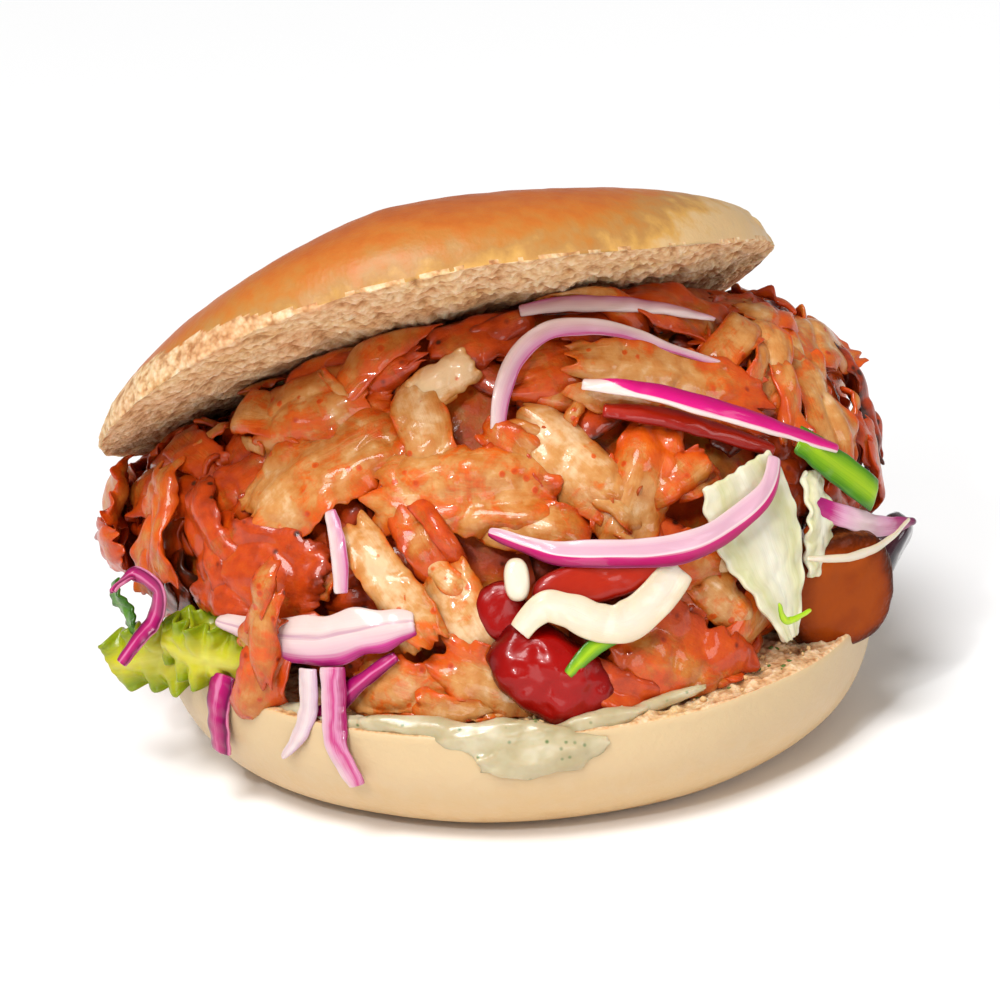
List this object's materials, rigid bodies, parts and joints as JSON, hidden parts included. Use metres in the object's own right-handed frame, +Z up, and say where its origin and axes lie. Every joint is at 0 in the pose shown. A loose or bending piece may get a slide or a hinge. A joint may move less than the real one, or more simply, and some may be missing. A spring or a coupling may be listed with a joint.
{
  "type": "filled sandwich roll",
  "caption": "Soft round roll opened wide over a tall heap of shaved grilled meat with red onion, cabbage, lettuce, tomato, roast vegetables and herb cream.",
  "frame": {"origin": "centre of the lower roll's flat foot, where it rests", "axes": "+Z up, -Y towards the open side of the sandwich, +X to the right of someone looking into it"},
  "size_m": [0.1724, 0.1564, 0.1227],
  "materials": {
    "roll_crust": "golden brown baked crust, soft satin",
    "roll_underside": "pale cream baked crust, matt",
    "grilled_meat": "glazed grilled meat, wet satin",
    "red_onion": "pale pink onion with a magenta skin edge, wet gloss",
    "red_cabbage": "purple cabbage, wet gloss",
    "white_cabbage": "pale translucent cabbage, wet gloss",
    "salad_greens": "yellow-green leaf, wet satin",
    "tomato": "red flesh, wet gloss",
    "roast_vegetable": "orange-brown roasted slice, satin",
    "aubergine_skin": "purple-black skin, gloss",
    "herb_cream": "thick cream sauce with herb specks, satin"
  },
  "bodies": {
    "root": {"roll_lower": "roll_underside", "roll_upper": "roll_crust", "onion_top": "red_onion", "onion_arch": "red_onion", "onion_magenta": "red_onion", "onion_ring": "red_onion", "onion_wedge": "red_onion", "onion_small": "red_onion", "onion_hanging_pale": "red_onion", "onion_hanging_pink": "red_onion", "red_cabbage_loop": "red_cabbage", "red_cabbage_hanging": "red_cabbage", "red_cabbage_front": "red_cabbage", "red_cabbage_right": "red_cabbage", "cabbage_wave": "white_cabbage", "cabbage_thread": "white_cabbage", "leek": "salad_greens", "green_strip": "salad_greens", "green_sprig": "salad_greens", "tomato_strip": "tomato", "onion_back_left": "red_onion", "onion_back_right": "red_onion", "onion_right_side": "red_onion", "red_cabbage_back": "red_cabbage", "red_cabbage_back_left": "red_cabbage", "cabbage_leaf": "white_cabbage", "cabbage_fold": "white_cabbage", "lettuce_left": "salad_greens", "lettuce_dark": "salad_greens", "lettuce_back": "salad_greens", "lettuce_back_left": "salad_greens", "lettuce_right": "salad_greens", "roast_slice": "roast_vegetable", "aubergine": "aubergine_skin", "tomato_slice": "tomato", "tomato_wedge": "tomato", "tomato_back": "tomato", "cabbage_core": "white_cabbage", "tomato_rear": "tomato", "cream": "herb_cream", "meat_heap": "grilled_meat"}
  },
  "joints": []
}
